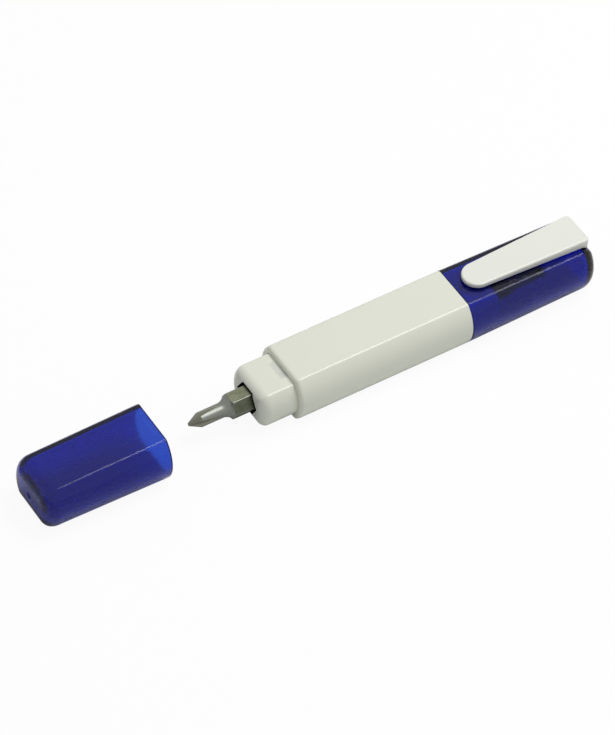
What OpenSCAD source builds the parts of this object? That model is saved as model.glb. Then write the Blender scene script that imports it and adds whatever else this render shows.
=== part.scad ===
// Double-ended pocket screwdriver: a hollow handle with a bit socket in each end,
// two insert bits held by magnets, and two pull-off caps, one of them with a pocket clip.
// The front cap is drawn pulled off, in line with the shaft.
// Millimetres. +X runs along the shaft towards the clip end and +Z is up.
// The origin is the middle of the barrel's flat underside.

/* [Section] */
// Width of the flat top and bottom, from crease to crease
flat_width = 13.2; // [11:0.1:17]
// Height of the section, from flat to flat
section_height = 14.5; // [13:0.1:18]
// How far each side bulges beyond the creases
side_bulge = 3.2; // [2:0.05:4]
// Radius of the four long creases
crease_radius = 0.9; // [0.5:0.05:1.4]

/* [Barrel] */
// Length of the barrel between its two shoulders
barrel_length = 51; // [45:0.1:80]
// Radius of the edge round the front shoulder
front_shoulder_round = 1.0; // [0.4:0.1:1.2]
// Radius of the edge round the rear shoulder
rear_shoulder_round = 0.3; // [0.2:0.05:1.2]
// Height of the inner ledge that stops each bit holder
stop_ledge = 1.2; // [0.8:0.1:2]

/* [Bit holders] */
// How far each bit holder stands out of the barrel
spigot_length = 10; // [9:0.1:14]
// Step from the barrel's surface down to the spigot
spigot_inset = 1.7; // [1.4:0.05:2.2]
// Radius of the edge round the spigot's nose
nose_round = 2.7; // [1:0.1:3.2]
// Thickness of the nose in front of the hollow
nose_wall = 2.4; // [1.6:0.1:3]
// Length of each bit holder inside the barrel
plug_depth = 14; // [8:0.5:20]
// Wall of the bit holder round its hollow
holder_wall = 1.3; // [1:0.05:1.8]
// Wall round the bit socket and behind the magnet
socket_wall = 1.2; // [1:0.1:1.6]
// Thickness of the ribs between the socket and the walls
rib_thickness = 1.2; // [0.8:0.1:2]
// Gap between a bit holder and the barrel's bore
plug_clearance = 0.05; // [0.02:0.01:0.1]

/* [Snap ridges] */
// Distance from the shoulder to the middle of each ridge
ridge_place = 1.2; // [1.1:0.05:2]
// Length of each ridge across the spigot
ridge_length = 5.6; // [3:0.1:8]
// Height of each ridge above the spigot
ridge_height = 0.16; // [0.08:0.01:0.18]
// Radius of the ridge's round back
ridge_radius = 2; // [1.5:0.1:4]

/* [Bits] */
// Width across the flats of the hexagon
bit_hex = 6.35; // [5:0.05:6.5]
// Whole length of each bit
bit_length = 25; // [22:0.5:32]
// Length of the hexagonal shank
shank_length = 12.9; // [10:0.1:14]
// Depth of the shank in its socket
socket_depth = 8.2; // [6:0.1:9.4]
// Chamfer at the back of the shank
shank_chamfer = 0.5; // [0.2:0.05:0.8]
// Radius of the turned hollow between the shank and the neck
neck_hollow = 3.1; // [1.8:0.1:3.5]
// Gap between the shank and its socket, on each flat
socket_clearance = 0.12; // [0.05:0.01:0.2]
// Extra width of the socket's mouth, on each flat
mouth_relief = 0.7; // [0.1:0.05:0.8]
// Depth of the wider mouth
mouth_depth = 2.2; // [0.6:0.1:2.4]

/* [Cross tip] */
// Diameter of the neck that carries the cross tip
cross_neck = 3.9; // [3:0.1:5]
// Diameter of the blunt end
cross_end = 0.8; // [0.6:0.05:1.2]
// Angle of the point, each side of the shaft's axis
cross_angle = 26.5; // [22:0.5:32]
// Distance from the axis to the root of each flute, at the point
flute_root = 0.46; // [0.35:0.01:0.8]
// Length of the flutes
flute_length = 8.8; // [6:0.1:10]
// Turn of the cross about the shaft
cross_turn = 36; // [-45:1:45]

/* [Flat tip] */
// Width of the blade, which is also its neck's diameter
blade_width = 5.2; // [4:0.1:5.6]
// Thickness of the blade at its end
blade_thickness = 0.8; // [0.5:0.05:1.2]
// Radius of the hollow-ground faces
grind_radius = 16; // [12:0.5:24]
// Length of the blade's even end
blade_land = 0.8; // [0.4:0.1:1.5]

/* [Magnets] */
// Diameter of each magnet
magnet_diameter = 5.8; // [4:0.1:6]
// Thickness of each magnet
magnet_thickness = 2; // [1:0.1:3]
// Gap round each magnet, and between it and the bit
magnet_clearance = 0.05; // [0.02:0.01:0.1]

/* [Caps] */
// Free room between the front bit's tip and the front cap's inner end
front_room = 5.9; // [2:0.1:12]
// Free room between the rear bit's tip and the rear cap's inner end
rear_room = 9.9; // [8:0.1:14]
// Distance of the pulled-off front cap's mouth from its shoulder
cap_pulled = 37; // [34:0.1:60]
// Thickness of each cap's closed end
end_wall = 2.2; // [1.6:0.1:3]
// Radius of the edge round each cap's closed end
cap_round = 3.8; // [1.5:0.1:4.5]
// Draft of the caps' walls, in degrees
cap_draft = 0.85; // [0.4:0.05:1.2]
// Gap between a cap and its spigot, at the mouth
cap_clearance = 0.25; // [0.17:0.01:0.3]
// Gap between a seated cap's mouth and the shoulder
seat_gap = 0.1; // [0.05:0.01:0.2]
// Diameter of the gate mark in the middle of a closed end
gate_diameter = 2.2; // [1:0.1:3]
// Depth of the gate mark
gate_depth = 0.35; // [0.2:0.05:0.6]

/* [Clip] */
// Length of the clip, from its root to its round end
clip_length = 35.2; // [28:0.1:36]
// Width of the clip at its root
clip_root_width = 10; // [8:0.1:12]
// Width of the clip at its round end
clip_end_width = 7.9; // [6:0.1:9]
// Thickness of the clip's arm at its root
clip_root_thickness = 2.4; // [1.8:0.1:3.2]
// Thickness of the clip's arm at its round end
clip_end_thickness = 1.3; // [0.9:0.05:1.6]
// Gap between the clip's arm and the cap's flat top, at the clip's root
clip_gap = 0.25; // [0.2:0.05:1.4]
// How much that gap widens towards the clip's free end
clip_rise = 0.1; // [0:0.05:1.2]
// Distance of the clip's root from the cap's closed end
clip_set_back = 0.9; // [0.8:0.1:2]
// Radius of the clip's root corners
clip_corner = 1.1; // [0.85:0.05:2]
// Radius of the clip's upper edge
clip_edge = 0.5; // [0.2:0.05:0.8]
// Length of the clip's leg along the shaft
clip_leg = 2.5; // [2:0.1:3]
// Depth of the clip's leg below its arm
clip_leg_drop = 1.2; // [1:0.1:2.5]
// Gap between the clip's leg and the cap
clip_clearance = 0.28; // [0.22:0.01:0.35]
// Distance of the tab's middle from the cap's closed end
tab_set_back = 4.9; // [4.6:0.1:6.5]
// Width of the clip's tab
tab_width = 5.6; // [4:0.1:7]
// Thickness of the clip's tab
tab_thickness = 1.3; // [1:0.1:1.6]
// Reach of the tab's hook under the cap's wall
hook_reach = 0.8; // [0.4:0.1:1.2]
// Thickness of the tab's hook
hook_thickness = 1.0; // [0.6:0.1:1.4]
// Gap round the tab in its slot
slot_clearance = 0.15; // [0.12:0.01:0.25]

/* [Hidden] */
$fn = 64;

handle_colour = [0.87, 0.88, 0.82];
clip_colour = [0.90, 0.905, 0.87];
cap_colour = [0.16, 0.17, 0.60, 0.75];
steel_colour = [0.55, 0.55, 0.52];
magnet_colour = [0.70, 0.70, 0.72];

// Steps along a rounded edge, a crease, a bulging side and the clip's round end
edge_steps = 6;
crease_steps = 5;
side_steps = 9;
round_steps = 24;
// Distance by which a cut runs past the face that it opens
past = 1;

shoulder = barrel_length / 2;
axis_z = section_height / 2;
half_flat = flat_width / 2;
// Each side is an arc through two creases, and its centre lies close to the axis
side_radius = (axis_z * axis_z + side_bulge * side_bulge) / (2 * side_bulge);
side_centre = half_flat + side_bulge - side_radius;
half_width = half_flat + side_bulge;

// Places along each end, counted outwards from its shoulder
bit_back = spigot_length - socket_depth;
bit_tip = bit_back + bit_length;
hex_corner = bit_hex / sqrt(3);
socket_corner = (bit_hex + 2 * socket_clearance) / sqrt(3);
mouth_corner = (bit_hex + 2 * (socket_clearance + mouth_relief)) / sqrt(3);
pocket_radius = magnet_diameter / 2 + magnet_clearance;
magnet_base = bit_back - magnet_clearance - magnet_thickness;
socket_back = magnet_base - socket_wall;

cap_wall = spigot_inset - cap_clearance;
front_cap_length = bit_tip + front_room + end_wall - seat_gap;
rear_cap_length = bit_tip + rear_room + end_wall - seat_gap;
rear_mouth = shoulder + seat_gap;

// Heights of the rear cap's top wall where the tab goes through it, and of the clip
tab_place = rear_cap_length - tab_set_back;
tab_top = cap_top(tab_place);
clip_root = rear_cap_length - clip_set_back;
clip_end_centre = clip_root - clip_length + clip_end_width / 2;
clip_root_top = clip_top(clip_root);

// Outline of the handle's section, moved in by inset. The right side runs up a crease arc,
// the bulging side arc and another crease arc, and the left side is the right one turned over.
function section_outline(inset) =
  let (
    arc = side_radius - inset,
    corner_level = axis_z - inset - crease_radius,
    corner_side = side_centre + sqrt(pow(arc - crease_radius, 2) - pow(corner_level, 2)),
    meet = atan2(corner_level, corner_side - side_centre),
    rise = [for (step = [0 : crease_steps]) meet + (90 - meet) * step / crease_steps],
    upper = [for (turn = rise) [corner_side, corner_level] + crease_radius * [cos(turn), sin(turn)]],
    side = [
      for (step = [1 - side_steps : 2 : side_steps - 1])
        let (turn = meet * step / side_steps) [side_centre + arc * cos(turn), arc * sin(turn)]
    ],
    lower = [for (step = [crease_steps : -1 : 0]) [upper[step][0], -upper[step][1]]],
    right = concat(lower, side, upper)
  )
  concat(right, [for (point = right) -point]);

// The section drawn out along the shaft from one place to another
module section_bar(from, to, inset) {
  translate([from, 0, axis_z])
    rotate([90, 0, 90]) linear_extrude(to - from) polygon(section_outline(inset));
}

// A solid through rings of points that have the same count and run the same way round
module loft(rings) {
  count = len(rings[0]);
  last = len(rings) - 1;
  sides = [
    for (ring = [0 : last - 1])
      for (spot = [0 : count - 1])
        let (a = ring * count + spot, b = ring * count + (spot + 1) % count)
          each [[a, a + count, b + count], [a, b + count, b]]
  ];
  start_face = [for (spot = [0 : count - 1]) spot];
  end_face = [for (spot = [count - 1 : -1 : 0]) last * count + spot];
  polyhedron([for (ring = rings) each ring], concat([start_face], sides, [end_face]));
}

// A solid through copies of the section, each given by its place along the shaft and its inset
module section_loft(stations) {
  loft([
    for (station = stations)
      [for (point = section_outline(station[1])) [station[0], point[0], point[1] + axis_z]]
  ]);
}

// Stations along a bar whose walls are drafted from x = 0 and whose far edge is rounded
function rounded_end(length, inset, draft, edge) = [
  for (step = [0 : edge_steps])
    let (turn = 90 * step / edge_steps, place = length - edge * (1 - sin(turn)))
      [place, inset + place * tan(draft) + edge * (1 - cos(turn))]
];

// A round bar along the shaft
module round_bar(from, to, radius) {
  translate([from, 0, axis_z]) rotate([0, 90, 0]) cylinder(h = to - from, r = radius);
}

// A hexagonal bar along the shaft, with flats at the top and bottom
module hex_bar(from, to, corner) {
  translate([from, 0, axis_z]) rotate([90, 0, 90]) linear_extrude(to - from) circle(corner, $fn = 6);
}

// A bar across the spigot whose back stands out of its top or bottom flat
module ridge_bar(place, length, growth) {
  centre = axis_z - spigot_inset + ridge_height - ridge_radius;
  for (level = [-1, 1])
    translate([place, 0, axis_z + level * centre])
      rotate([90, 0, 0]) cylinder(h = length + 2 * growth, r = ridge_radius + growth, center = true);
}

// Puts what is drawn from the shoulder outwards at the rear end, or at the front end
module at_rear() {
  translate([shoulder, 0, 0]) children();
}
module at_front() {
  mirror([1, 0, 0]) at_rear() children();
}

module barrel() {
  middle = shoulder - plug_depth;
  front_end = rounded_end(shoulder, 0, 0, front_shoulder_round);
  rear_end = rounded_end(shoulder, 0, 0, rear_shoulder_round);
  turned_end = [for (step = [edge_steps : -1 : 0]) [-front_end[step][0], front_end[step][1]]];
  color(handle_colour)
    difference() {
      section_loft(concat(turned_end, rear_end));
      for (side = [0, 1])
        mirror([side, 0, 0]) section_bar(middle, shoulder + past, spigot_inset - plug_clearance);
      section_bar(-shoulder, shoulder, spigot_inset + stop_ledge);
    }
}

// The hollow moulding that carries one bit, drawn from the shoulder outwards
module bit_holder() {
  nose = rounded_end(spigot_length, spigot_inset, 0, nose_round);
  color(handle_colour)
    difference() {
      union() {
        difference() {
          union() {
            section_loft(concat([[-plug_depth, spigot_inset]], nose));
            ridge_bar(ridge_place, ridge_length, 0);
          }
          section_bar(-plug_depth - past, spigot_length - nose_wall, spigot_inset + holder_wall);
        }
        intersection() {
          union() {
            round_bar(socket_back, spigot_length - nose_wall / 2, socket_corner + socket_wall);
            holder_ribs();
          }
          section_bar(-plug_depth, spigot_length - nose_wall / 2, spigot_inset + holder_wall / 2);
        }
      }
      hex_bar(bit_back, spigot_length + past, socket_corner);
      hex_bar(spigot_length - mouth_depth, spigot_length + past, mouth_corner);
      round_bar(magnet_base, spigot_length, pocket_radius);
    }
}

module front_bit_holder() {
  at_front() bit_holder();
}

module rear_bit_holder() {
  at_rear() bit_holder();
}

// An upright rib and a level rib that run from the socket to the holder's walls
module holder_ribs() {
  reach = spigot_length - nose_wall / 2 + plug_depth / 2;
  translate([-plug_depth / 2, -rib_thickness / 2, 0]) cube([reach, rib_thickness, section_height]);
  translate([-plug_depth / 2, -half_width, axis_z - rib_thickness / 2])
    cube([reach, 2 * half_width, rib_thickness]);
}

module magnet() {
  color(magnet_colour) round_bar(magnet_base, magnet_base + magnet_thickness, magnet_diameter / 2);
}

module front_magnet() {
  at_front() magnet();
}

module rear_magnet() {
  at_rear() magnet();
}

// The hexagonal shank and turned neck of a bit, from its back end at x = 0 to its tip
module bit_blank(neck_radius) {
  intersection() {
    hex_bar(0, bit_length, hex_corner);
    translate([0, 0, axis_z])
      rotate([0, 90, 0])
        rotate_extrude()
          difference() {
            union() {
              square([hex_corner, shank_length + neck_hollow]);
              square([neck_radius, bit_length]);
            }
            translate([neck_radius + neck_hollow, shank_length + neck_hollow]) circle(neck_hollow);
            translate([hex_corner, 0]) rotate(45) square(shank_chamfer * sqrt(2), center = true);
          }
  }
}

// The front bit has a cross tip: a cone point with four V flutes that run out along the neck
module phillips_bit() {
  at_front() translate([bit_back, 0, 0]) cross_bit();
}

module cross_bit() {
  neck_radius = cross_neck / 2;
  point_length = (neck_radius - cross_end / 2) / tan(cross_angle);
  flute_rise = atan((neck_radius - flute_root) / flute_length);
  cut_length = flute_length + past / 2;
  color(steel_colour)
    difference() {
      bit_blank(neck_radius);
      translate([0, 0, axis_z])
        rotate([0, 90, 0])
          rotate_extrude()
            polygon([
              [cross_end / 2, bit_length],
              [neck_radius, bit_length - point_length],
              [2 * neck_radius, bit_length - point_length],
              [2 * neck_radius, bit_length + past],
              [cross_end / 2, bit_length + past]
            ]);
      for (flute = [0 : 3])
        translate([bit_length, 0, axis_z])
          rotate([90 * flute + 45 + cross_turn, 0, 0])
            translate([0, 0, flute_root])
              rotate([0, flute_rise, 0])
                rotate([45, 0, 0])
                  translate([-cut_length, 0, 0])
                    cube([cut_length + past, cross_neck, cross_neck]);
    }
}

// The rear bit has a flat tip: two hollow-ground faces that thin the neck to a blade
module slotted_bit() {
  at_rear() translate([bit_back, 0, 0]) flat_bit();
}

module flat_bit() {
  color(steel_colour)
    difference() {
      bit_blank(blade_width / 2);
      for (level = [-1, 1])
        translate([bit_length - blade_land, 0, axis_z + level * (blade_thickness / 2 + grind_radius)])
          rotate([90, 0, 0]) cylinder(h = 2 * blade_width, r = grind_radius, center = true);
    }
}

// A cap drawn from its mouth at x = 0 to its closed end
module cap_shell(length) {
  outer_end = rounded_end(length, 0, cap_draft, cap_round);
  inner_end = rounded_end(length - end_wall, cap_wall, cap_draft, cap_round - end_wall / 2);
  difference() {
    section_loft(concat([[0, 0]], outer_end));
    section_loft(concat([[-past, cap_wall]], inner_end));
    ridge_bar(ridge_place - seat_gap, ridge_length, cap_clearance);
    round_bar(length - gate_depth, length + past, gate_diameter / 2);
  }
}

module front_cap() {
  color(cap_colour)
    at_front() translate([cap_pulled, 0, 0]) cap_shell(front_cap_length);
}

module rear_cap() {
  slot_length = tab_thickness + 2 * slot_clearance;
  slot_width = tab_width + 2 * slot_clearance;
  color(cap_colour)
    translate([rear_mouth, 0, 0])
      difference() {
        cap_shell(rear_cap_length);
        translate([tab_place - slot_length / 2, -slot_width / 2, section_height - 2 * cap_wall])
          cube([slot_length, slot_width, 2 * cap_wall + past]);
      }
}

// Outline of the clip in plan, moved in by inset: a full-round free end, then two root corners
function clip_outline(inset) =
  let (
    end_radius = clip_end_width / 2,
    corner = [clip_root - clip_corner, clip_root_width / 2 - clip_corner],
    run = corner - [clip_end_centre, 0],
    meet = atan2(run[1], run[0]) + acos((end_radius - clip_corner) / norm(run)),
    free_end = [for (step = [0 : round_steps]) meet + (360 - 2 * meet) * step / round_steps],
    near = [for (step = [0 : crease_steps]) meet * (step / crease_steps - 1)],
    far = [for (turn = near) turn + meet]
  )
  concat(
    [for (turn = free_end) [clip_end_centre, 0] + (end_radius - inset) * [cos(turn), sin(turn)]],
    [for (turn = near) [corner[0], -corner[1]] + (clip_corner - inset) * [cos(turn), sin(turn)]],
    [for (turn = far) corner + (clip_corner - inset) * [cos(turn), sin(turn)]]
  );

// Height of a cap's drafted flat top
function cap_top(place) = section_height - place * tan(cap_draft);

// Heights of the underside and the top of the clip's arm, which come together towards its free end
function clip_share(place) = (clip_root - place) / clip_length;
function clip_underside(place) = cap_top(place) + clip_gap + clip_share(place) * clip_rise;
function clip_top(place) =
  let (taper = clip_share(place) * (clip_root_thickness - clip_end_thickness))
    clip_underside(place) + clip_root_thickness - taper;

// The clip's arm: flat on top with a rounded upper edge, and thinner towards its free end
module clip_arm() {
  edge = [for (step = [0 : edge_steps]) 90 * step / edge_steps];
  loft(concat(
    [[for (point = clip_outline(0)) [point[0], point[1], clip_underside(point[0])]]],
    [
      for (turn = edge)
        [
          for (point = clip_outline(clip_edge * (1 - cos(turn))))
            [point[0], point[1], clip_top(point[0]) - clip_edge * (1 - sin(turn))]
        ]
    ]
  ));
}

// The clip's leg, which hooks over the rounded end of the cap
module clip_leg_block() {
  drop = clip_root_thickness + clip_leg_drop;
  difference() {
    intersection() {
      translate([clip_root - clip_leg, -clip_root_width / 2, clip_root_top - drop])
        cube([clip_leg, clip_root_width, drop - clip_edge]);
      translate([0, 0, clip_root_top - drop]) linear_extrude(drop) polygon(clip_outline(0));
    }
    section_loft(
      concat([[0, -clip_clearance]], rounded_end(rear_cap_length, -clip_clearance, cap_draft, cap_round))
    );
  }
}

// The tab that goes through the cap's top wall, and its hook under the wall
module clip_tab() {
  hook_top = tab_top - cap_wall - slot_clearance;
  translate([tab_place - tab_thickness / 2, -tab_width / 2, hook_top - hook_thickness])
    cube([tab_thickness, tab_width, clip_top(tab_place) - clip_edge - hook_top + hook_thickness]);
  translate([tab_place - tab_thickness / 2 - hook_reach, -tab_width / 2, hook_top - hook_thickness])
    cube([hook_reach + tab_thickness / 2, tab_width, hook_thickness]);
}

module clip() {
  color(clip_colour)
    translate([rear_mouth, 0, 0]) {
      clip_arm();
      clip_leg_block();
      clip_tab();
    }
}

barrel();
front_bit_holder();
rear_bit_holder();
front_magnet();
rear_magnet();
phillips_bit();
slotted_bit();
front_cap();
rear_cap();
clip();
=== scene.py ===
"""Looks of the pocket screwdriver: satin moulded handle, clear blue caps, pocket clip and ground steel bits.

Sizes are in millimetres in the part's own frame, as in its source, and go into the meshes in metres.
"""

import math

import bmesh
import bpy
import numpy as np
from mathutils import Matrix, Vector


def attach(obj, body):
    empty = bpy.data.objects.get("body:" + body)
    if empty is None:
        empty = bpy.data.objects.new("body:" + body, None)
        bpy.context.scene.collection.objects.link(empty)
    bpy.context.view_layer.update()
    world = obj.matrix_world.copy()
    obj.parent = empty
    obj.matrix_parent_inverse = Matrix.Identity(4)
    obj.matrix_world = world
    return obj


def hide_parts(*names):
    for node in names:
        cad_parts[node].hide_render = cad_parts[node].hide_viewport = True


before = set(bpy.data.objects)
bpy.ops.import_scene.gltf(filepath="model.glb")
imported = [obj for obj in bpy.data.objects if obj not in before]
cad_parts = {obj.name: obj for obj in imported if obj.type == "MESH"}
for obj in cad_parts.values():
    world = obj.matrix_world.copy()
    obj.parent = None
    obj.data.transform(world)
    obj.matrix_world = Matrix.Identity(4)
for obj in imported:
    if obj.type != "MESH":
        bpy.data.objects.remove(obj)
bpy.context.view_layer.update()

METRES = 0.001
# Degrees between faces that make an edge sharp, on mouldings and on the bits
SHARP_EDGE = 35
SHARP_BIT_EDGE = 30
# Metres within which points merge, and edges collapse
MERGE_REACH = 2e-7
COLLAPSE_REACH = 1e-8

# Section of the handle and the caps
SECTION_HEIGHT = 14.5
SIDE_BULGE = 3.2
FLAT_WIDTH = 13.2
CREASE_RADIUS = 0.9
AXIS_Z = SECTION_HEIGHT / 2
SIDE_RADIUS = (AXIS_Z**2 + SIDE_BULGE**2) / (2 * SIDE_BULGE)
SIDE_CENTRE = FLAT_WIDTH / 2 + SIDE_BULGE - SIDE_RADIUS
CREASE_POINTS = 13
SIDE_POINTS = 33
# Points across a flat, as shares of its half width: close together at the creases, and one of them above
# each corner of the socket's hexagon
CORNER_SHARE = 0.5825
FLAT_EDGE = np.array([0.97, 0.9, 0.8, 0.69])
FLAT_MIDDLE = np.linspace(CORNER_SHARE, -CORNER_SHARE, 15)
FLAT_SHARES = np.concatenate([FLAT_EDGE, FLAT_MIDDLE, -FLAT_EDGE[::-1]])

# Barrel and bit holders
SHOULDER = 25.5
FRONT_SHOULDER_ROUND = 1.0
REAR_SHOULDER_ROUND = 0.3
SHOULDER_POINTS = 13
BARREL_ROWS = 13
BORE_INSET = 1.65
LEDGE_INSET = 2.9
SPIGOT_LENGTH = 10.0
SPIGOT_INSET = 1.7
NOSE_ROUND = 2.7
NOSE_POINTS = 28
PLUG_DEPTH = 14.0
RIDGE_PLACE = 1.2
RIDGE_LENGTH = 5.6
RIDGE_HEIGHT = 0.16
RIDGE_RADIUS = 2.0
RIDGE_SOFT_END = 0.35
# Distance from the shoulder at which the painted shade over the ridges has faded out
RIDGE_SHADE_END = 1.9
# Places of the rows along the spigot, close together over the ridges
SPIGOT_PLACES = np.concatenate([[-PLUG_DEPTH, 0, 0.3], np.linspace(0.35, 2.25, 39), [2.4, 4, 5.6, 7.2]])
# Halvings that bring an inset to its last digit
HALVINGS = 40

# Bits and their sockets
BIT_HEX = 6.35
BIT_LENGTH = 25.0
SHANK_LENGTH = 12.9
SHANK_CHAMFER = 0.5
NECK_HOLLOW = 3.1
HOLLOW_END = SHANK_LENGTH + NECK_HOLLOW
BIT_BACK = 1.8
SOCKET_HEX = 6.59
MOUTH_HEX = 7.99
MOUTH_DEPTH = 2.2
MOUTH_SHADE = 0.2
POCKET_RADIUS = 2.95
POCKET_BACK = -0.25
CROSS_NECK = 3.9
CROSS_END = 0.8
CROSS_ANGLE = math.radians(26.5)
CROSS_TURN = math.radians(36)
FLUTE_ROOT = 0.46
FLUTE_LENGTH = 8.8
BLADE_WIDTH = 5.2
BLADE_THICKNESS = 0.8
BLADE_LAND = 0.8
GRIND_RADIUS = 16.0
# Places of the rows along a bit: its chamfer, its flats, its hollow and its tip
BIT_PLACES = np.concatenate([
    np.linspace(0, SHANK_CHAMFER, 5), np.linspace(1, SHANK_LENGTH - 0.2, 8),
    np.linspace(SHANK_LENGTH, HOLLOW_END, 60), np.linspace(HOLLOW_END, BIT_LENGTH, 91)[1:],
])
BIT_COLUMNS = 360
# Directions of a shank's six flats, of which the second and the fifth face up and down and get painted light
FLAT_TURNS = np.radians(np.arange(30, 390, 60))
LEVEL_FLATS = [1, 4]
# Degrees of the norms that join a bit's surfaces and fade the painted highlight along its edges
EDGE_NORM = 60
EDGE_HIGHLIGHT_NORM = 20

# Caps
FRONT_MOUTH = 62.5
FRONT_CAP_LENGTH = 34.8
REAR_MOUTH = 25.6
REAR_CAP_LENGTH = 38.8
CAP_WALL = 1.45
END_WALL = 2.2
CAP_ROUND = 3.8
CAP_ROUND_POINTS = 15
CAP_DRAFT = math.tan(math.radians(0.85))
CAP_CLEARANCE = 0.25
SEAT_GAP = 0.1
GATE_RADIUS = 0.9
GATE_DEPTH = 0.2
GATE_EDGE = 0.1
RIM_ROUND = 0.15
RIM_POINTS = 5
CAP_ROWS = 12
# Places of the rows inside the mouth, close together over the grooves
THROAT_PLACES = np.linspace(0.2, 2.4, 45)

# Clip, counted from the rear cap's mouth
CLIP_LENGTH = 35.2
CLIP_ROOT_WIDTH = 10.0
CLIP_END_WIDTH = 7.9
CLIP_ROOT_THICKNESS = 2.4
CLIP_END_THICKNESS = 1.3
CLIP_ROOT = 37.9
CLIP_GAP = 0.25
CLIP_RISE = 0.1
CLIP_CORNER = 1.1
CLIP_EDGE = 0.5
CLIP_LOWER_EDGE = 0.15
CLIP_EDGE_POINTS = 9
CLIP_UNDER_ROWS = 25
CLIP_TOP_SPREAD = [0.97, 0.6, 0]
CLIP_END_POINTS = 73
CLIP_CORNER_POINTS = 13
CLIP_ROOT_POINTS = 21
# Points along the clip's sides, as shares from the free end to the root, close together near the root
CLIP_SIDE_SHARES = np.concatenate([np.linspace(0, 0.9, 19)[1:], np.linspace(0.9, 1, 31)[1:-1]])
CLIP_LEG = 2.5
CLIP_LEG_DROP = 1.2
CLIP_CLEARANCE = 0.28
TAB_PLACE = 33.9
TAB_WIDTH = 5.6
TAB_THICKNESS = 1.3
HOOK_REACH = 0.8
HOOK_TOP = 12.397
HOOK_THICKNESS = 1.0
SLOT_CLEARANCE = 0.15


def mesh_from(name, shells, sharp=SHARP_EDGE, marks=None):
    """A mesh from grids of points (rows, columns, xyz in millimetres) whose columns close on themselves.

    Neighbouring rows and columns are joined by four-sided faces. Rows that shrink to a point or a line are
    merged, so that poles and seams close, and the faces are then turned outwards. Marks are numbers by name,
    one for each point, which a material can read.
    """
    points, faces, first = [], [], 0
    for grid in shells:
        rows, columns = grid.shape[:2]
        spot = first + np.arange(rows * columns).reshape(rows, columns)
        near, far = spot[:-1], spot[1:]
        faces.append(np.stack([near, np.roll(near, -1, 1), np.roll(far, -1, 1), far], -1).reshape(-1, 4))
        points.append(grid.reshape(-1, 3) * METRES)
        first += rows * columns
    mesh = bpy.data.meshes.new(name)
    mesh.from_pydata(np.concatenate(points).tolist(), [], np.concatenate(faces).tolist())
    for mark, numbers in (marks or {}).items():
        column = mesh.attributes.new(mark, "FLOAT", "POINT")
        column.data.foreach_set("value", numbers.ravel().astype(np.float32))
    work = bmesh.new()
    work.from_mesh(mesh)
    bmesh.ops.remove_doubles(work, verts=work.verts, dist=MERGE_REACH)
    bmesh.ops.dissolve_degenerate(work, edges=work.edges, dist=COLLAPSE_REACH)
    bmesh.ops.recalc_face_normals(work, faces=work.faces)
    work.to_mesh(mesh)
    work.free()
    smooth(mesh, sharp)
    return mesh


def smooth(mesh, sharp):
    """Shades a mesh smooth, apart from edges that turn by more than so many degrees."""
    mesh.polygons.foreach_set("use_smooth", np.ones(len(mesh.polygons), bool))
    mesh.set_sharp_from_angle(angle=math.radians(sharp))


def dress(name, mesh, finish, body, node):
    """Puts a mesh into the scene as the piece that stands for a node, on its body and in its finish."""
    piece = bpy.data.objects.new(name, mesh)
    bpy.context.scene.collection.objects.link(piece)
    piece.data.materials.append(finish)
    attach(piece, body)
    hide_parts(node)


def quarter(steps):
    """Sines and cosines of turns from 0 to a right angle."""
    turn = np.linspace(0, np.pi / 2, steps)
    return np.sin(turn), np.cos(turn)


def section_ring(inset):
    """Outline of the section, one row for each inset, as arrays of y and of the height over the axis.

    The right side is a crease arc, the bulging side arc and another crease arc, and the flat top follows. The
    left side and the underside are the same points turned half round the axis.
    """
    inset = np.asarray(inset, float)[:, None]
    arc = SIDE_RADIUS - inset
    level = AXIS_Z - inset - CREASE_RADIUS
    reach = np.sqrt((arc - CREASE_RADIUS)**2 - level**2)
    meet = np.arctan2(level, reach)
    rise = meet + (np.pi / 2 - meet) * np.linspace(0, 1, CREASE_POINTS)
    crease_y = SIDE_CENTRE + reach + CREASE_RADIUS * np.cos(rise)
    crease_z = level + CREASE_RADIUS * np.sin(rise)
    swing = meet * np.linspace(-1, 1, SIDE_POINTS)[1:-1]
    flat_y = crease_y[:, -1:] * FLAT_SHARES
    flat_z = crease_z[:, -1:] + 0 * flat_y
    y = np.concatenate([crease_y[:, ::-1], SIDE_CENTRE + arc * np.cos(swing), crease_y, flat_y], 1)
    z = np.concatenate([-crease_z[:, ::-1], arc * np.sin(swing), crease_z, flat_z], 1)
    return np.concatenate([y, -y], 1), np.concatenate([z, -z], 1)


def section_grid(place, inset):
    """The section carried along the shaft: a ring of the outline at each place, moved in by its inset."""
    y, z = section_ring(inset)
    return np.stack([np.asarray(place, float)[:, None] + 0 * y, y, z + AXIS_Z], -1)


def round_ring(place, radius, turn):
    """One row of points at a place along the shaft, at a radius in each direction about the axis."""
    row = [place + 0 * turn, radius * np.cos(turn), AXIS_Z + radius * np.sin(turn)]
    return np.stack(row, -1)[None]


def raise_ridge(grid, middle, growth):
    """Lifts the flats of a grid to the round back of a bar that lies across them at the middle place.

    The back is an arc of the ridge's radius about a centre under the flat. It runs out over a short way at
    both ends of the bar. Growth makes the bar longer and thicker all round.
    """
    x, y, level = grid[..., 0], grid[..., 1], grid[..., 2] - AXIS_Z
    flat = np.abs(level).max(1, keepdims=True)
    centre = AXIS_Z - SPIGOT_INSET + RIDGE_HEIGHT - RIDGE_RADIUS
    back = centre + np.sqrt(np.maximum((RIDGE_RADIUS + growth)**2 - (x - middle)**2, 0))
    inside = np.clip((RIDGE_LENGTH / 2 + growth - np.abs(y)) / RIDGE_SOFT_END, 0, 1)
    lift = np.maximum(back - flat, 0) * np.sqrt(1 - (1 - inside)**2)
    raised = np.sign(level) * (np.abs(level) + np.where(np.isclose(np.abs(level), flat), lift, 0))
    return np.stack([x, y, AXIS_Z + raised], -1)


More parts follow.
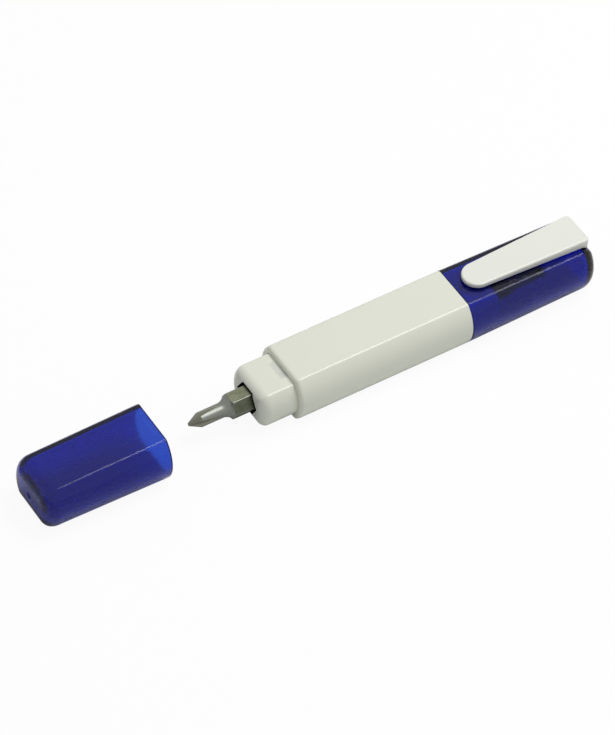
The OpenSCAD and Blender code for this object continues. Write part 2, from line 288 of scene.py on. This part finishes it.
def barrel_shape():
    """A sleeve: round the front edge, along the outside, round the rear edge and back through the bore."""
    sine, cosine = quarter(SHOULDER_POINTS)
    middle = SHOULDER - PLUG_DEPTH
    straight = np.linspace(2 - SHOULDER, SHOULDER - 1, BARREL_ROWS)
    place = np.concatenate([
        -SHOULDER + FRONT_SHOULDER_ROUND * (1 - sine[::-1]),
        straight,
        SHOULDER - REAR_SHOULDER_ROUND * (1 - sine),
        [SHOULDER, middle, middle, -middle, -middle, -SHOULDER, -SHOULDER],
    ])
    inset = np.concatenate([
        FRONT_SHOULDER_ROUND * (1 - cosine[::-1]),
        0 * straight,
        REAR_SHOULDER_ROUND * (1 - cosine),
        [BORE_INSET, BORE_INSET, LEDGE_INSET, LEDGE_INSET, BORE_INSET, BORE_INSET, FRONT_SHOULDER_ROUND],
    ])
    return section_grid(place, inset)


def inset_at(y, z):
    """Inset of the outline that passes through each point, found by halving the range of insets.

    A point lies outside an outline if it is beyond the flat or the side arc or, in the angle that a crease
    arc fills, further from that arc's centre than its radius.
    """
    y, z = np.abs(y), np.abs(z)
    low, high = np.zeros_like(y), np.full_like(y, AXIS_Z - CREASE_RADIUS)
    for _ in range(HALVINGS):
        inset = (low + high) / 2
        level = AXIS_Z - inset - CREASE_RADIUS
        reach = np.sqrt((SIDE_RADIUS - inset - CREASE_RADIUS)**2 - level**2)
        out_y, out_z = y - SIDE_CENTRE - reach, z - level
        beyond = np.maximum(out_z, np.hypot(y - SIDE_CENTRE, z) - SIDE_RADIUS + inset + CREASE_RADIUS)
        in_crease = (out_y > 0) & (out_z * reach > out_y * level)
        outside = np.where(in_crease, np.hypot(out_y, out_z), beyond) > CREASE_RADIUS
        low, high = np.where(outside, low, inset), np.where(outside, inset, high)
    return (low + high) / 2


def hexagon(turn, across):
    """Radius in each direction of a hexagon of that width, with flats at the top and bottom."""
    return across / 2 / np.cos(np.mod(turn, np.pi / 3) - np.pi / 6)


def holder_shape():
    """The bit holder from its back, along the spigot, over the rounded nose and down the hexagonal socket.

    On the nose the points run straight from the spigot's outline to the socket's mouth, and each lies back
    from the end by what a round edge has at that point's inset. The rows in the socket are marked for painted
    shade, and the flats over the ridges, beside the shoulder, for a blue-grey painted shade.
    """
    straight = section_grid(SPIGOT_PLACES, np.full(len(SPIGOT_PLACES), SPIGOT_INSET))
    spigot = raise_ridge(straight, RIDGE_PLACE, 0)
    y, z = (ring[0] for ring in section_ring([SPIGOT_INSET]))
    turn = np.arctan2(z, y)
    mouth, socket = hexagon(turn, MOUTH_HEX), hexagon(turn, SOCKET_HEX)
    share = (1 - np.cos(np.linspace(0, np.pi / 2, NOSE_POINTS)))[:, None]
    nose_y = y + (mouth * np.cos(turn) - y) * share
    nose_z = z + (mouth * np.sin(turn) - z) * share
    left = np.clip(1 - (inset_at(nose_y, nose_z) - SPIGOT_INSET) / NOSE_ROUND, 0, 1)
    nose_x = SPIGOT_LENGTH - NOSE_ROUND * (1 - np.sqrt(1 - left**2))
    nose = np.stack([nose_x, nose_y, AXIS_Z + nose_z], -1)
    ledge = SPIGOT_LENGTH - MOUTH_DEPTH
    outside = np.concatenate([round_ring(-PLUG_DEPTH, 0, turn), spigot, nose])
    inside = np.concatenate([
        nose[-1:] - [MOUTH_SHADE, 0, 0],
        round_ring(ledge, mouth, turn), round_ring(ledge, socket, turn),
        round_ring(BIT_BACK, socket, turn), round_ring(BIT_BACK, POCKET_RADIUS, turn),
        round_ring(POCKET_BACK, POCKET_RADIUS, turn), round_ring(POCKET_BACK, 0, turn),
    ])
    # Marks for painted shade: the rows of the socket, and the flats over the ridges next to the shoulder
    socket_shade = np.concatenate([np.zeros(outside.shape[:2]), np.ones(inside.shape[:2])])
    grid = np.concatenate([outside, inside])
    across = np.clip((RIDGE_LENGTH / 2 + RIDGE_SOFT_END - np.abs(grid[..., 1])) / RIDGE_SOFT_END, 0, 1)
    along = np.clip((RIDGE_SHADE_END - np.abs(grid[..., 0])) / (RIDGE_SHADE_END - RIDGE_PLACE), 0, 1)
    return grid, {"socket_shade": socket_shade, "ridge_shade": across * along * (1 - socket_shade)}


def bit_shape(neck_radius, cut):
    """A bit as a radius over its length and its turn about the axis, with the shares of its surfaces.

    Where several surfaces bound the bit, the one nearest to the axis counts: the reciprocal of the radius is
    the norm of the reciprocals of their radii, of a high degree, which rounds the edges very slightly. The
    surfaces are six flats, the turned body with its chamfer and hollow, and those that the cut function adds.
    Points are marked by the share of the turned and of the ground surfaces, for a painted highlight near the
    edges between flats, and for painted light on the upper and lower flats.
    """
    place = BIT_PLACES[:, None]
    turn = np.linspace(0, 2 * np.pi, BIT_COLUMNS, endpoint=False)[None, :]
    facing = np.cos(turn - FLAT_TURNS[:, None])
    flats = np.maximum(facing, 0)[:, None, :] / (BIT_HEX / 2) + 0 * place
    from_end = np.clip(place - HOLLOW_END, -NECK_HOLLOW, 0)
    body = neck_radius + NECK_HOLLOW - np.sqrt(NECK_HOLLOW**2 - from_end**2)
    chamfered = BIT_HEX / math.sqrt(3) - SHANK_CHAMFER + place
    body = np.where(place <= SHANK_CHAMFER, chamfered, np.where(place < SHANK_LENGTH, 2 * BIT_HEX, body))
    drawn = np.sum(flats**EDGE_NORM, 0)
    nearest = np.sort(flats, 0)
    lathe = (1 / body + 0 * turn)**EDGE_NORM
    ground = np.sum(np.stack(cut(place, turn))**EDGE_NORM, 0)
    total = drawn + lathe + ground
    radius = total**(-1 / EDGE_NORM)
    grid = np.stack([place + 0 * turn, radius * np.cos(turn), AXIS_Z + radius * np.sin(turn)], -1)
    poles = np.array([[[0, 0, AXIS_Z]], [[BIT_LENGTH, 0, AXIS_Z]]]) + 0 * grid[:2]
    rows = np.r_[0, np.arange(len(grid)), len(grid) - 1]
    # Painted highlight: the share near the edges between flats
    edge_highlight = (nearest[-2] / nearest[-1])**EDGE_HIGHLIGHT_NORM * drawn / total
    # Painted light: the share of the upper and lower flats, which are painted lighter
    plain_and_lit_flats = np.sum(flats[LEVEL_FLATS]**EDGE_NORM, 0) / total
    shares = {"turned": lathe / total, "ground": ground / total, "edge_highlight": edge_highlight, "plain_and_lit_flats": plain_and_lit_flats}
    marks = {mark: share[rows] for mark, share in shares.items()}
    return np.concatenate([poles[:1], grid, poles[1:]]) + [BIT_BACK, 0, 0], marks


def cross_cut(place, turn):
    """A cone point, and four V flutes whose square walls meet in a root that sinks towards the point.

    Each flute ends where its root leaves the neck.
    """
    from_tip = BIT_LENGTH - place
    cone = CROSS_END / 2 + from_tip * math.tan(CROSS_ANGLE)
    root = FLUTE_ROOT + from_tip * (CROSS_NECK / 2 - FLUTE_ROOT) / FLUTE_LENGTH
    off = np.mod(turn - CROSS_TURN, np.pi / 2) - np.pi / 4
    valley = np.maximum(np.cos(off) - np.abs(np.sin(off)), 0) / root
    return [1 / cone + 0 * turn, np.where(from_tip < FLUTE_LENGTH, valley, 0)]


def blade_cut(place, turn):
    """Two hollow-ground faces, arcs that thin the neck to the blade's even end."""
    run = np.clip(BIT_LENGTH - BLADE_LAND - place, 0, GRIND_RADIUS)
    half = BLADE_THICKNESS / 2 + GRIND_RADIUS - np.sqrt(GRIND_RADIUS**2 - run**2)
    return [np.abs(np.sin(turn)) / half]


def cap_shape(length):
    """A cap's wall from the middle of its closed end over the outside, round the mouth and up the inside.

    The rows of the inside are marked as core, because the core of a mould is less polished.
    """
    sine, cosine = quarter(CAP_ROUND_POINTS)
    rim_sine, rim_cosine = quarter(RIM_POINTS)
    straight = np.linspace(length - CAP_ROUND - 1, 1, CAP_ROWS)
    outer_place = np.concatenate([length - CAP_ROUND * (1 - sine[::-1]), straight])
    outer_inset = outer_place * CAP_DRAFT + np.concatenate([CAP_ROUND * (1 - cosine[::-1]), 0 * straight])
    rim_place = RIM_ROUND * (1 - np.concatenate([rim_sine, rim_sine[::-1]]))
    rim_inset = np.concatenate([RIM_ROUND * (1 - rim_cosine), CAP_WALL - RIM_ROUND * (1 - rim_cosine[::-1])])
    inner_end = length - END_WALL
    inner_round = CAP_ROUND - END_WALL / 2
    throat = np.concatenate([THROAT_PLACES, np.linspace(3, inner_end - inner_round - 0.5, CAP_ROWS)])
    inner_place = np.concatenate([throat, inner_end - inner_round * (1 - sine)])
    inner_inset = CAP_WALL + inner_place * CAP_DRAFT
    inner_inset = inner_inset + np.concatenate([0 * throat, inner_round * (1 - cosine)])
    outside = section_grid(outer_place, outer_inset)
    inside = raise_ridge(section_grid(inner_place, inner_inset), RIDGE_PLACE - SEAT_GAP, CAP_CLEARANCE)
    turn = np.arctan2(outside[0, :, 2] - AXIS_Z, outside[0, :, 1])
    floor = length - GATE_DEPTH
    gate = [
        (floor, 0), (floor, GATE_RADIUS - GATE_EDGE), (floor + GATE_EDGE, GATE_RADIUS),
        (length, GATE_RADIUS), (length, GATE_RADIUS + GATE_EDGE),
    ]
    gate_rings = [round_ring(place, radius, turn) for place, radius in gate]
    skin = np.concatenate([*gate_rings, outside, section_grid(rim_place, rim_inset)])
    core = np.concatenate([np.zeros(skin.shape[:2]), np.ones((len(inside) + 1, len(turn)))])
    return np.concatenate([skin, inside, round_ring(inner_end, 0, turn)]), {"core": core}


def clip_ring(inset):
    """The clip's outline in plan, one row for each inset: a round free end, a near corner and a far corner.

    The two tangents between the free end and the corners, and the root's edge, have points along them too,
    close together near the root.
    """
    inset = np.asarray(inset, float)[:, None]
    end_radius = CLIP_END_WIDTH / 2
    end_centre = CLIP_ROOT - CLIP_LENGTH + end_radius
    corner_x, corner_y = CLIP_ROOT - CLIP_CORNER, CLIP_ROOT_WIDTH / 2 - CLIP_CORNER
    run_x = corner_x - end_centre
    meet = math.atan2(corner_y, run_x) + math.acos((end_radius - CLIP_CORNER) / math.hypot(run_x, corner_y))
    free = np.linspace(meet, 2 * np.pi - meet, CLIP_END_POINTS)
    near, far = np.linspace(-meet, 0, CLIP_CORNER_POINTS), np.linspace(0, meet, CLIP_CORNER_POINTS)
    across = np.linspace(0, 1, CLIP_ROOT_POINTS)[1:-1]

    def join(first, last, shares):
        return first[:, -1:] + (last[:, :1] - first[:, -1:]) * shares

    outline = []
    for wave, near_middle, far_middle, end_middle in (
        (np.cos, corner_x, corner_x, end_centre), (np.sin, -corner_y, corner_y, 0)
    ):
        end = end_middle + (end_radius - inset) * wave(free)
        lower = near_middle + (CLIP_CORNER - inset) * wave(near)
        upper = far_middle + (CLIP_CORNER - inset) * wave(far)
        outline.append(np.concatenate([
            end, join(end, lower, CLIP_SIDE_SHARES), lower, join(lower, upper, across),
            upper, join(upper, end, 1 - CLIP_SIDE_SHARES[::-1]),
        ], 1))
    return outline


def clip_arm(place):
    """Heights of the underside and the top of the clip's arm.

    The underside lies over the cap's drafted flat with a gap that widens towards the free end, and the arm
    gets thinner on the way there.
    """
    share = (CLIP_ROOT - place) / CLIP_LENGTH
    under = SECTION_HEIGHT - place * CAP_DRAFT + CLIP_GAP + share * CLIP_RISE
    return under, under + CLIP_ROOT_THICKNESS - share * (CLIP_ROOT_THICKNESS - CLIP_END_THICKNESS)


def clip_underside(place):
    """Height of the clip's underside: the arm and, at the leg, the cap's rounded end with a clearance."""
    arm = clip_arm(place)[0]
    rise = np.clip(1 - (REAR_CAP_LENGTH - place) / CAP_ROUND, 0, 1)
    cap = SECTION_HEIGHT - place * CAP_DRAFT - CAP_ROUND * (1 - np.sqrt(1 - rise**2))
    leg = np.maximum(clip_arm(CLIP_ROOT)[0] - CLIP_LEG_DROP, cap + CLIP_CLEARANCE)
    reached = np.clip((CLIP_LEG - CLIP_ROOT + place) / CLIP_LOWER_EDGE, 0, 1)
    return arm + reached * np.minimum(leg - arm, 0)


def clip_shapes():
    """The clip's arm with its leg, and the hooked tab that goes through the cap's wall.

    The arm's skin runs from the middle line of its underside to its lower edge, up the side, over the rounded
    upper edge and in to the middle line of its top. The tab is an L-shaped profile carried across the clip.
    """
    sine, cosine = quarter(CLIP_EDGE_POINTS)
    below = np.zeros(CLIP_UNDER_ROWS)
    side = np.zeros(len(below) + len(sine) - 1)
    top = np.zeros(len(CLIP_TOP_SPREAD))
    above = np.zeros(len(sine) + len(top))
    spread = np.concatenate([np.linspace(0, 1, len(below)), np.ones(2 * len(sine) - 1), CLIP_TOP_SPREAD])
    low = np.concatenate([below + CLIP_LOWER_EDGE, CLIP_LOWER_EDGE * (1 - sine[1:]), above])
    high = np.concatenate([side, CLIP_EDGE * (1 - cosine), top + CLIP_EDGE])
    x, y = clip_ring(low + high)
    middle = np.clip(x, CLIP_ROOT - CLIP_LENGTH + CLIP_END_WIDTH / 2, CLIP_ROOT - CLIP_CORNER)
    x, y = middle + spread[:, None] * (x - middle), spread[:, None] * y
    lift = np.concatenate([below, CLIP_LOWER_EDGE * (1 - cosine[1:]), above])
    drop = np.concatenate([side, CLIP_EDGE * (1 - sine), top])
    is_low = np.arange(len(x)) < len(side)
    height = np.where(is_low[:, None], clip_underside(x) + lift[:, None], clip_arm(x)[1] - drop[:, None])
    arm = np.stack([x, y, height], -1)
    back, front = TAB_PLACE + TAB_THICKNESS / 2, TAB_PLACE - TAB_THICKNESS / 2
    foot, head = HOOK_TOP - HOOK_THICKNESS, clip_arm(TAB_PLACE)[1] - CLIP_EDGE
    hook = front - HOOK_REACH
    profile = np.array([
        (hook, foot), (back, foot), (back, head), (front, head), (front, HOOK_TOP), (hook, HOOK_TOP),
    ])
    inner = np.array([[TAB_PLACE, HOOK_TOP - HOOK_THICKNESS / 2]]) + 0 * profile
    rows = np.stack([inner, profile, profile, inner])
    across = np.array([-1, -1, 1, 1])[:, None] * TAB_WIDTH / 2 + 0 * rows[..., 0]
    tab = np.stack([rows[..., 0], across, rows[..., 1]], -1)
    return [arm, tab]


def cut_slot(mesh):
    """Cuts the slot for the clip's tab through the rear cap's top wall."""
    middle = np.array([REAR_MOUTH + TAB_PLACE, 0])
    half = np.array([TAB_THICKNESS / 2 + SLOT_CLEARANCE, TAB_WIDTH / 2 + SLOT_CLEARANCE])
    corners = np.array([(-1, -1), (1, -1), (1, 1), (-1, 1)]) * half + middle
    levels = SECTION_HEIGHT + np.array([-2, -2, 1, 1]) * CAP_WALL
    spread = np.array([0, 1, 1, 0])[:, None, None]
    plan = middle + spread * (corners - middle)
    grid = np.concatenate([plan, levels[:, None, None] + 0 * plan[..., :1]], -1)
    cap = bpy.data.objects.new("slotted_cap", mesh)
    cutter = bpy.data.objects.new("slot_cutter", mesh_from("slot_cutter", [grid]))
    for made in (cap, cutter):
        bpy.context.scene.collection.objects.link(made)
    slot = cap.modifiers.new("slot", "BOOLEAN")
    slot.operation, slot.solver, slot.object = "DIFFERENCE", "EXACT", cutter
    cut = bpy.data.meshes.new_from_object(cap.evaluated_get(bpy.context.evaluated_depsgraph_get()))
    for made in (cap, cutter):
        bpy.data.objects.remove(made)
    smooth(cut, SHARP_EDGE)
    return cut


class Value:
    """A socket that varies over a surface. An expression on it adds the Math nodes that it needs."""

    def __init__(self, finish, socket):
        self.finish, self.socket = finish, socket

    def math(self, operation, other):
        return self.finish.value("ShaderNodeMath", {"operation": operation}, {0: self, 1: other})

    def __add__(self, other):
        return self.math("ADD", other)

    def __sub__(self, other):
        return self.math("SUBTRACT", other)

    def __rsub__(self, other):
        return self * -1 + other

    def __mul__(self, other):
        return self.math("MULTIPLY", other)

    __radd__, __rmul__ = __add__, __mul__


class Finish:
    """A node tree of a material or the world, and the one way in which nodes are added to it."""

    def __init__(self, owner):
        owner.use_nodes = True
        self.owner, self.tree = owner, owner.node_tree
        self.tree.nodes.clear()

    def node(self, kind, settings=None, sockets=None):
        """Adds a node of a kind, makes its settings, then sets or links its sockets by name or number."""
        made = self.tree.nodes.new(kind)
        for name, setting in (settings or {}).items():
            setattr(made, name, setting)
        for name, source in (sockets or {}).items():
            if isinstance(source, Value):
                self.tree.links.new(source.socket, made.inputs[name])
            else:
                made.inputs[name].default_value = source
        return made

    def value(self, kind, settings=None, sockets=None, output=0):
        """One output of a new node, ready for expressions."""
        return Value(self, self.node(kind, settings, sockets).outputs[output])

    def noise(self, size, detail, stretch=(1, 1, 1)):
        """Noise with features about so many millimetres wide, drawn out by the stretch along each axis."""
        place = self.value("ShaderNodeTexCoord", output="Object")
        squeeze = {"Vector": place, "Scale": tuple(1 / (size * METRES * way) for way in stretch)}
        return self.value("ShaderNodeTexNoise", None, {
            "Vector": self.value("ShaderNodeMapping", None, squeeze), "Scale": 1.0, "Detail": detail,
        })

    def mix(self, first, second, share):
        """A colour between two colours."""
        return self.value("ShaderNodeMix", {"data_type": "RGBA"}, {0: share, 6: first, 7: second}, 2)

    def bump(self, height, depth):
        """Normals of a surface whose relief is so many millimetres deep."""
        relief = {"Height": height, "Distance": depth * METRES, "Strength": 1.0}
        return self.value("ShaderNodeBump", None, relief)

    def mark(self, name):
        """Numbers that the piece's own points carry."""
        return self.value("ShaderNodeAttribute", {"attribute_name": name}, output="Fac")

    def end(self, shader, kind="ShaderNodeOutputMaterial", volume=None):
        """Joins the last shader, and that of a clear body, to the output."""
        ends = {"Surface": shader} if volume is None else {"Surface": shader, "Volume": volume}
        self.node(kind, None, {name: Value(self, last.outputs[0]) for name, last in ends.items()})
        return self.owner


# Painted shade: near black in the bit sockets, and blue-grey, with the cap's reflected blue, over the ridges
SOCKET_SHADE_PAINT = (0.02, 0.02, 0.018, 1)
RIDGE_SHADE_PAINT = (0.42, 0.46, 0.46, 1)


def moulded_plastic(name, light, shade):
    """Satin moulding: a fine eroded grain, faint clouds in the colour, and places that are rubbed smoother.

    Where the piece is marked for it, painted shade makes the sockets nearly black. On the flats over the
    ridges, beside the shoulder, a painted shade with a painted reflection of the cap's blue turns them
    blue-grey.
    """
    finish = Finish(bpy.data.materials.new(name))
    cloud = finish.noise(9, 3.0)
    grain = finish.noise(0.16, 2.0)
    wear_and_painted_light = finish.noise(4, 4.0, (3, 1, 1))
    plain_and_lit_flats = finish.mix(shade, light, cloud)
    # Painted shade, blue-grey with the cap's reflected blue, over the ridges beside the shoulder, patchy with
    # the noise
    marked = finish.mix(plain_and_lit_flats, RIDGE_SHADE_PAINT, finish.mark("ridge_shade") * (0.1 + 0.7 * wear_and_painted_light))
    return finish.end(finish.node("ShaderNodeBsdfPrincipled", None, {
        # Painted shade: the socket's rows turn nearly black
        "Base Color": finish.mix(marked, SOCKET_SHADE_PAINT, finish.mark("socket_shade")),
        "Roughness": 0.13 + 0.08 * wear_and_painted_light + 0.05 * grain,
        "Normal": finish.bump(grain, 0.006),
        "IOR": 1.5,
    }))


# Colour that passes through the caps' plastic, how fast the other colours fade, for each metre, and how much
# rougher the inside is
CAP_BODY = (0.048, 0.40, 0.83, 1)
CAP_DENSITY = 1050.0
CORE_ROUGH = 0.2


def clear_plastic(name, tint, deep):
    """Polished clear moulding: faint flow lines along the cap, a little haze, and a rougher inside.

    The surface tints what it lets through, and the plastic itself dims it more, the longer the way is.
    """
    finish = Finish(bpy.data.materials.new(name))
    flow = finish.noise(5, 0.0, (6, 1, 1))
    haze = finish.noise(2, 1.0, (4, 1, 1))
    surface = finish.node("ShaderNodeBsdfPrincipled", None, {
        "Base Color": finish.mix(deep, tint, flow),
        "Roughness": 0.06 + 0.03 * haze + CORE_ROUGH * finish.mark("core"),
        "Normal": finish.bump(flow, 0.0001),
        "Transmission Weight": 1.0,
        "IOR": 1.37,
    })
    body = finish.node("ShaderNodeVolumeAbsorption", None, {"Color": CAP_BODY, "Density": CAP_DENSITY})
    return finish.end(surface, volume=body)


def tool_steel(name, tone):
    """Drawn flats with lines along the shank, a turned neck with rings round it, and ground tip faces.

    The flats keep a mottled scale, painted darker on the side flats as shade and lighter on the upper and
    lower ones as light, and a painted highlight runs along their edges. The tone darkens all of it, and on
    the rear bit, inside its cap, the low tone is painted shade.
    """
    finish = Finish(bpy.data.materials.new(name))

    def dye(*colour):
        return (*(tone * part for part in colour), 1)

    drawn = finish.noise(0.12, 2.0, (30, 1, 1))
    rings = finish.noise(0.05, 2.0, (1, 60, 60))
    scale = finish.noise(0.9, 4.0, (2, 1, 1))
    turned, ground = finish.mark("turned"), finish.mark("ground")
    lines = drawn + turned * (rings - drawn)
    # Painted shade and light: the side flats keep a darker mottled scale, the upper and lower ones a lighter
    # one
    scale_and_shade = finish.mix(dye(0.075, 0.083, 0.055), dye(0.235, 0.263, 0.185), scale)
    wear_and_painted_light = finish.mix(dye(0.145, 0.15, 0.096), dye(0.41, 0.43, 0.30), scale)
    forged = finish.mix(scale_and_shade, wear_and_painted_light, finish.mark("plain_and_lit_flats"))
    # Painted highlight: a light line along the edges between flats
    with_edge_highlight = finish.mix(forged, dye(0.48, 0.48, 0.45), finish.mark("edge_highlight") * 0.6)
    lathed = finish.mix(dye(0.266, 0.28, 0.248), dye(0.36, 0.378, 0.34), lines)
    milled = finish.mix(dye(0.21, 0.207, 0.162), dye(0.28, 0.276, 0.223), lines)
    return finish.end(finish.node("ShaderNodeBsdfPrincipled", None, {
        "Base Color": finish.mix(finish.mix(with_edge_highlight, lathed, turned), milled, ground),
        "Roughness": 0.34 + 0.12 * lines,
        "Normal": finish.bump(lines, 0.004),
        "Metallic": 1.0,
    }))


def nickel_plate(name):
    """Bright plating with a fine haze."""
    finish = Finish(bpy.data.materials.new(name))
    haze = finish.noise(0.3, 3.0)
    return finish.end(finish.node("ShaderNodeBsdfPrincipled", None, {
        "Base Color": finish.mix((0.58, 0.57, 0.54, 1), (0.68, 0.67, 0.64, 1), haze),
        "Roughness": 0.22 + 0.12 * haze,
        "Normal": finish.bump(haze, 0.002),
        "Metallic": 1.0,
    }))


handle_finish = moulded_plastic("handle_plastic", (0.785, 0.803, 0.695, 1), (0.755, 0.773, 0.665, 1))
clip_finish = moulded_plastic("clip_plastic", (0.83, 0.835, 0.77, 1), (0.80, 0.807, 0.74, 1))
cap_finish = clear_plastic("cap_plastic", (0.056, 0.18, 0.74, 1), (0.052, 0.17, 0.725, 1))
bright_steel = tool_steel("bit_steel", 0.64)
# The rear bit's low tone is painted shade, for the shadowed inside of its cap under the clip
shadow_toned_steel = tool_steel("shadow_toned_bit_steel", 0.3)

AT_REAR = np.array([1, 1, 1])
AT_FRONT = np.array([-1, 1, 1])
to_shoulder = np.array([SHOULDER, 0, 0])

barrel_mesh = mesh_from("handle_barrel", [barrel_shape()])
dress("handle_barrel", barrel_mesh, handle_finish, "handle", "barrel")
for name, way, node in (
    ("front_spigot", AT_FRONT, "front_bit_holder"),
    ("rear_spigot", AT_REAR, "rear_bit_holder"),
):
    shape, marks = holder_shape()
    mesh = mesh_from(name, [(shape + to_shoulder) * way], marks=marks)
    dress(name, mesh, handle_finish, "handle", node)

for name, way, neck, cut, finish, node in (
    ("cross_tip_bit", AT_FRONT, CROSS_NECK / 2, cross_cut, bright_steel, "phillips_bit"),
    ("flat_tip_bit", AT_REAR, BLADE_WIDTH / 2, blade_cut, shadow_toned_steel, "slotted_bit"),
):
    shape, marks = bit_shape(neck, cut)
    mesh = mesh_from(name, [(shape + to_shoulder) * way], SHARP_BIT_EDGE, marks)
    dress(name, mesh, finish, node, node)

shape, marks = cap_shape(FRONT_CAP_LENGTH)
front_mesh = mesh_from("front_cap_shell", [(shape + [FRONT_MOUTH, 0, 0]) * AT_FRONT], marks=marks)
dress("front_cap_shell", front_mesh, cap_finish, "front_cap", "front_cap")
shape, marks = cap_shape(REAR_CAP_LENGTH)
rear_mesh = cut_slot(mesh_from("rear_cap_shell", [shape + [REAR_MOUTH, 0, 0]], marks=marks))
dress("rear_cap_shell", rear_mesh, cap_finish, "rear_cap", "rear_cap")
clip_mesh = mesh_from("pocket_clip_arm", [shape + [REAR_MOUTH, 0, 0] for shape in clip_shapes()])
dress("pocket_clip_arm", clip_mesh, clip_finish, "clip", "clip")

magnet_finish = nickel_plate("magnet_plate")
for node in ("front_magnet", "rear_magnet"):
    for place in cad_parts[node].material_slots:
        place.material = magnet_finish

# Floor and surroundings, in metres: the floor's colour to light that it passes on and to rays by which it is
# seen, and the shares of plain white in it to the camera and through clear plastic
FLOOR_REACH = 3.0
FLOOR_DROP = 0.00002
FLOOR_PALE = (0.74, 0.76, 0.74, 1)
FLOOR_SEEN = (0.95, 0.95, 0.95, 1)
FLOOR_WHITE = 0.93
CLEAR_WHITE = 0.34
WHITE = (1, 1, 1, 1)
HORIZON = 0.15
OVERHEAD = 0.6
LAMP_WATTS = 2.85
LAMP_SIZE = (0.45, 0.35)
LAMP_PLACE = Vector((0.27, -0.06, 0.66))
LAMP_TARGET = Vector((-0.02, 0, 0))


def sight(finish):
    """Tells rays from the camera, rays through clear plastic, and all that see: both, and mirror surfaces."""
    path = finish.node("ShaderNodeLightPath")
    kinds = ("Is Camera Ray", "Is Glossy Ray", "Is Transmission Ray")
    camera, mirror, clear = (Value(finish, path.outputs[kind]) for kind in kinds)
    return camera, clear, (camera + mirror + clear).math("MINIMUM", 1.0)


def studio():
    """A pale floor that keeps the object's shadow, surroundings lighter overhead, and a soft lamp."""
    plane = bpy.data.meshes.new("studio_floor")
    corners = np.array([(-1, -1), (1, -1), (1, 1), (-1, 1)]) * FLOOR_REACH
    plane.from_pydata([(x, y, -FLOOR_DROP) for x, y in corners.tolist()], [], [(0, 1, 2, 3)])
    floor = bpy.data.objects.new("studio_floor", plane)
    bpy.context.scene.collection.objects.link(floor)
    finish = Finish(bpy.data.materials.new("studio_floor"))
    camera, clear, seen = sight(finish)
    paint = finish.value("ShaderNodeBsdfDiffuse", None, {"Color": finish.mix(FLOOR_PALE, FLOOR_SEEN, seen)})
    white = finish.value("ShaderNodeEmission", None, {"Color": WHITE, "Strength": 1.0})
    share = camera * FLOOR_WHITE + clear * CLEAR_WHITE
    blend = finish.node("ShaderNodeMixShader", None, {0: share, 1: paint, 2: white})
    plane.materials.append(finish.end(blend))

    world = bpy.data.worlds.new("studio_world")
    bpy.context.scene.world = world
    finish = Finish(world)
    way = finish.value("ShaderNodeTexCoord", output="Generated")
    height = finish.value("ShaderNodeSeparateXYZ", None, {0: way}, "Z")
    sky = HORIZON + (OVERHEAD - HORIZON) * height.math("MAXIMUM", 0.0)
    _, _, seen = sight(finish)
    air = finish.node("ShaderNodeBackground", None, {"Color": WHITE, "Strength": sky + seen * (1 - sky)})
    finish.end(air, "ShaderNodeOutputWorld")

    lamp = bpy.data.lights.new("overhead_lamp", "AREA")
    lamp.shape, lamp.energy = "RECTANGLE", LAMP_WATTS
    lamp.size, lamp.size_y = LAMP_SIZE
    holder = bpy.data.objects.new("overhead_lamp", lamp)
    holder.location = LAMP_PLACE
    holder.rotation_euler = (LAMP_TARGET - LAMP_PLACE).to_track_quat("-Z", "Y").to_euler()
    bpy.context.scene.collection.objects.link(holder)


studio()

# The camera, as fitted to the photograph's creases, mouths and ends
CAMERA_AZIMUTH = math.radians(-34.057)
CAMERA_ELEVATION = math.radians(48.633)
CAMERA_ROLL = math.radians(2.82)
CAMERA_DISTANCE = 1068.89
CAMERA_TARGET = Vector((-17.779, 0, 8.793))
FOCAL_PIXELS = 4291.88
PHOTO_HEIGHT = 735
SENSOR = 36.0


def place_camera():
    """Stands back from the target at an azimuth and elevation, and rolls about the line of sight."""
    level, tilt = CAMERA_AZIMUTH, CAMERA_ELEVATION
    back = Vector((math.sin(level) * math.cos(tilt), -math.cos(level) * math.cos(tilt), math.sin(tilt)))
    right = Vector((math.cos(level), math.sin(level), 0))
    up = back.cross(right)
    across = math.cos(CAMERA_ROLL) * right + math.sin(CAMERA_ROLL) * up
    upright = math.cos(CAMERA_ROLL) * up - math.sin(CAMERA_ROLL) * right
    lens = bpy.data.cameras.new("photo_camera")
    lens.sensor_width, lens.lens = SENSOR, FOCAL_PIXELS * SENSOR / PHOTO_HEIGHT
    camera = bpy.data.objects.new("photo_camera", lens)
    turn = Matrix((across, upright, back)).transposed().to_4x4()
    camera.matrix_world = Matrix.Translation((CAMERA_TARGET + CAMERA_DISTANCE * back) * METRES) @ turn
    bpy.context.scene.collection.objects.link(camera)
    bpy.context.scene.camera = camera


place_camera()
bpy.context.scene.view_settings.view_transform = "Standard"
